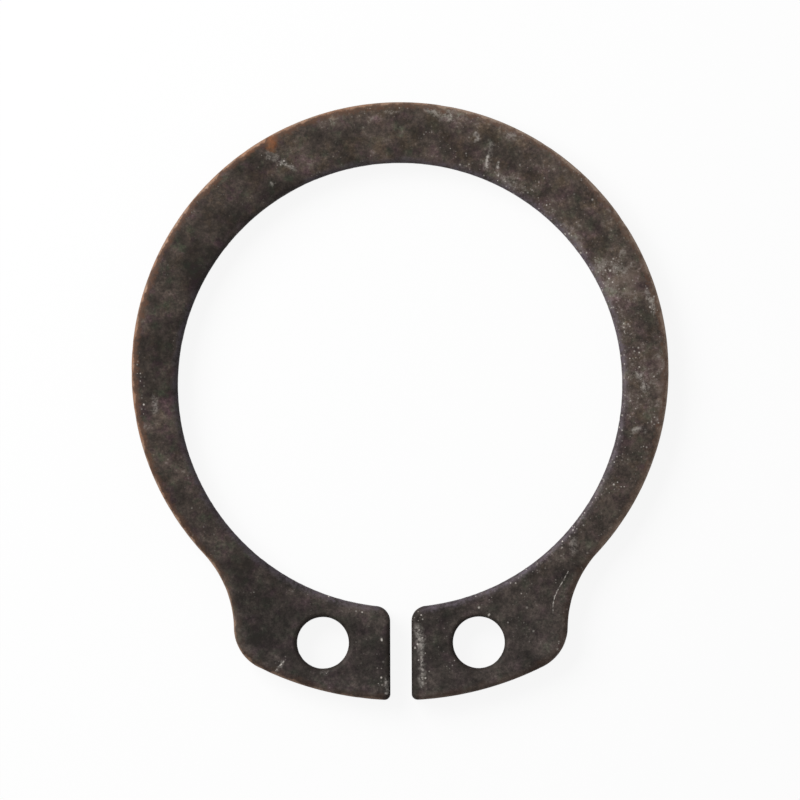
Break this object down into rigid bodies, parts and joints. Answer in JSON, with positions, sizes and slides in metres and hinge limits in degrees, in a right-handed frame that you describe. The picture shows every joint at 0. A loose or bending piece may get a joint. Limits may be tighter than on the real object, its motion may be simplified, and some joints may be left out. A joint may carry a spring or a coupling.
{
  "type": "external retaining ring",
  "caption": "Flat external retaining ring of stamped spring steel: an eccentric beam that thins towards a narrow gap, with a plier hole in each lug; snaps into a shaft groove.",
  "frame": {"origin": "on the axis of the inner circle, in the plane of the lower face", "axes": "+Z along the shaft's axis, from the lower face to the upper face with the rolled edges; the gap and the lugs lie towards -Y; X runs from lug to lug"},
  "size_m": [0.0224, 0.0249, 0.0012],
  "materials": {
    "spring_steel": "satin"
  },
  "bodies": {
    "root": {"retaining_ring": "spring_steel"}
  },
  "joints": []
}
